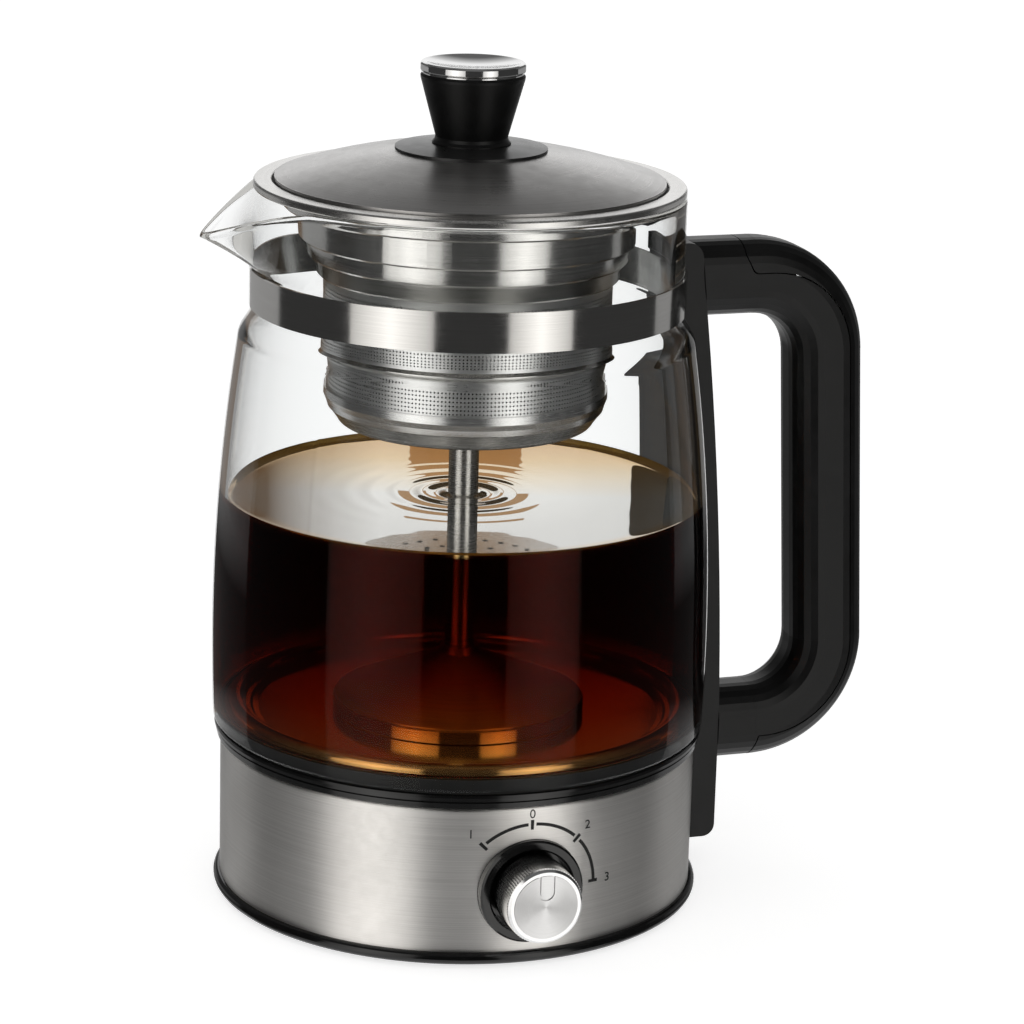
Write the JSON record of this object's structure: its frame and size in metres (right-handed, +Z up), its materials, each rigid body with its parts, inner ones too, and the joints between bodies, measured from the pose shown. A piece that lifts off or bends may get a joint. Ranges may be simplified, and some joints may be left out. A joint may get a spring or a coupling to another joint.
{
  "type": "electric percolator",
  "caption": "Glass coffee percolator with pouring spout and side grip on a steel heating base with a turning dial; lid, basket and pump stem lift out.",
  "frame": {"origin": "on the pot's axis, in the plane of the table that the rubber ring stands on", "axes": "+Z up along the pot's axis, +X towards the grip, -X towards the spout, -Y towards the dial"},
  "size_m": [0.2231, 0.1697, 0.2661],
  "materials": {
    "brushed_steel": "brushed",
    "polished_steel": "polished",
    "perforated_steel": "fine perforated sheet",
    "plain_steel": "plain",
    "black_plastic": "satin",
    "gloss_black": "gloss",
    "black_rubber": "matte",
    "clear_glass": "clear",
    "spun_aluminium": "spun",
    "brass_pins": "plain",
    "wire_sleeve": "matte",
    "switch_body": "matte",
    "heater_metal": "dull"
  },
  "bodies": {
    "pot": {"foot_ring": "black_rubber", "base_ring": "gloss_black", "bottom_plate": "black_plastic", "bottom_screws": "plain_steel", "base_housing": "brushed_steel", "collar_ring": "black_plastic", "glass_seal": "black_rubber", "heating_plate": "plain_steel", "heat_spreader": "heater_metal", "heating_element": "heater_metal", "thermostat": "switch_body", "thermal_fuse": "switch_body", "rotary_switch": "switch_body", "switch_nut": "plain_steel", "dial_bezel": "gloss_black", "power_inlet": "black_plastic", "inlet_pins": "brass_pins", "inner_wires": "wire_sleeve", "glass_carafe": "clear_glass", "neck_band": "polished_steel", "handle_strip": "black_plastic", "handle_shell": "black_plastic", "handle_cover": "black_plastic", "handle_screws": "plain_steel"},
    "dial": {"dial_shaft": "plain_steel", "dial_knob": "spun_aluminium", "dial_face": "spun_aluminium"},
    "pump": {"pump_tube": "plain_steel", "pump_bell": "plain_steel", "pump_stop": "plain_steel"},
    "basket": {"basket_cup": "plain_steel", "basket_mesh": "perforated_steel", "basket_bead": "plain_steel", "basket_sleeve": "perforated_steel", "basket_collar": "polished_steel", "basket_tube": "plain_steel"},
    "spreader": {"spreader_plate": "plain_steel"},
    "lid": {"lid_skirt": "polished_steel", "lid_ring": "brushed_steel", "lid_gasket": "black_rubber", "lid_dome": "brushed_steel", "knob_plate": "gloss_black", "lid_knob": "black_plastic", "knob_cap": "polished_steel", "knob_screw": "plain_steel"}
  },
  "joints": [
    {"name": "dial_turn", "type": "hinge", "parent": "pot", "child": "dial", "pos_m": [0, -0.076, 0.024], "axis": [0, 1, 0], "range_deg": [-45, 90]},
    {"name": "pump_lift", "type": "slide", "parent": "pot", "child": "pump", "axis": [0, 0, 1], "range_m": [0, 0.18]},
    {"name": "basket_lift", "type": "slide", "parent": "pump", "child": "basket", "axis": [0, 0, 1], "range_m": [0, 0.07]},
    {"name": "spreader_lift", "type": "slide", "parent": "basket", "child": "spreader", "axis": [0, 0, 1], "range_m": [0, 0.03]},
    {"name": "lid_lift", "type": "slide", "parent": "spreader", "child": "lid", "axis": [0, 0, 1], "range_m": [0, 0.05]}
  ]
}
